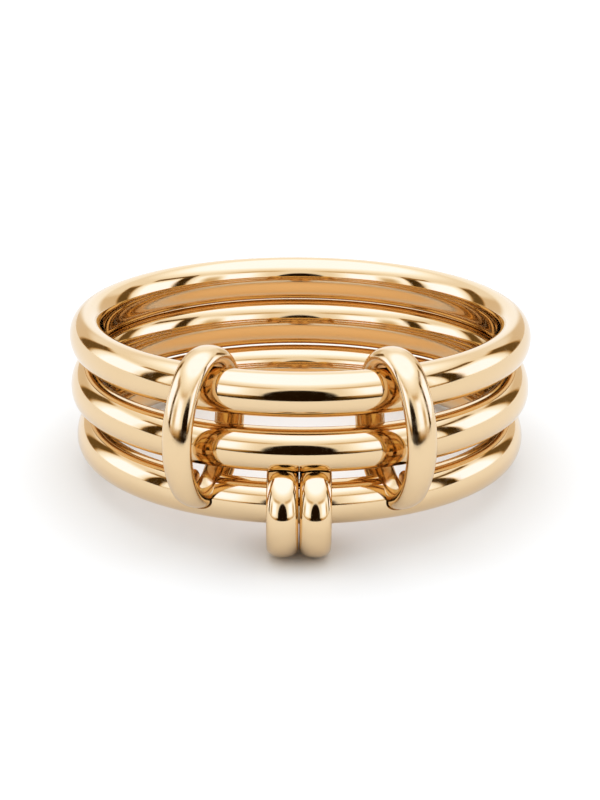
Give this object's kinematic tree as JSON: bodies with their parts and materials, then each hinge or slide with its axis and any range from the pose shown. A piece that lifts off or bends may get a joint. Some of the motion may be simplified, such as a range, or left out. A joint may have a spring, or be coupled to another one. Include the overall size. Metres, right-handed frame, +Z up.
{
  "type": "finger ring of stacked bands with connector links",
  "caption": "Finger ring of parallel polished gold bands, joined at the front by large oval and small round connector links.",
  "frame": {"origin": "on the surface that the ring rests on, below the middle of its outline seen from above", "axes": "+Z up, -Y towards the front where the links are, +X to the right seen from the front"},
  "size_m": [0.0218, 0.0232, 0.0093],
  "materials": {
    "band_gold": "mirror polished yellow gold",
    "link_gold": "mirror polished yellow gold"
  },
  "bodies": {
    "root": {"top_band": "band_gold", "middle_band": "band_gold", "bottom_band": "band_gold", "left_large_link": "link_gold", "right_large_link": "link_gold", "left_small_link": "link_gold", "right_small_link": "link_gold"}
  },
  "joints": []
}
